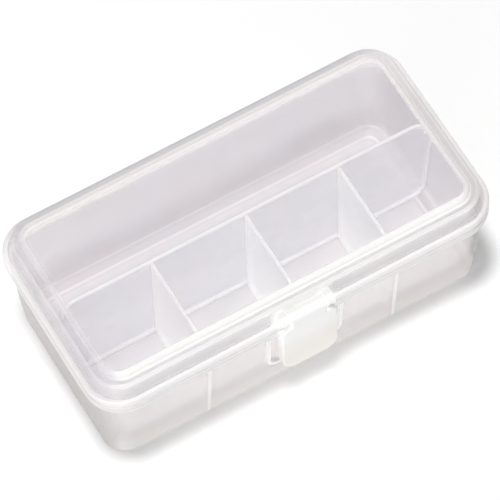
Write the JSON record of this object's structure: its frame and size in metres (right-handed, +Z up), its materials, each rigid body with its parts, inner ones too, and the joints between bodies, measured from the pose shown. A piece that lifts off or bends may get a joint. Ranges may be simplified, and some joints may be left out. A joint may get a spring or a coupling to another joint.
{
  "type": "parts sorting tray",
  "caption": "Translucent box for small parts: a partitioned tray with a hinged, stepped lid and a front snap latch.",
  "frame": {"origin": "middle of the tray's flat underside", "axes": "+X along the box, to the right seen from the latch; +Y from the latch to the hinges; +Z up"},
  "size_m": [0.125, 0.0697, 0.042],
  "materials": {
    "tray_plastic": "frosted translucent polypropylene",
    "plate_plastic": "frosted translucent polypropylene",
    "lid_plastic": "clear, slightly frosted polypropylene",
    "latch_plastic": "milky white polypropylene",
    "pin_plastic": "translucent polypropylene"
  },
  "bodies": {
    "tray": {"tray": "tray_plastic", "divider": "plate_plastic", "partition_left": "plate_plastic", "partition_middle": "plate_plastic", "partition_right": "plate_plastic", "hinge_pin_left": "pin_plastic", "hinge_pin_right": "pin_plastic"},
    "lid": {"lid": "lid_plastic"},
    "latch": {"latch": "latch_plastic"}
  },
  "joints": [
    {"name": "lid_hinge", "type": "hinge", "parent": "tray", "child": "lid", "pos_m": [0, 0.03361, 0.029], "axis": [-1, 0, 0], "range_deg": [0, 180]},
    {"name": "latch_hinge", "type": "hinge", "parent": "lid", "child": "latch", "pos_m": [0, -0.0326, 0.0383], "axis": [-1, 0, 0], "range_deg": [0, 120]}
  ]
}
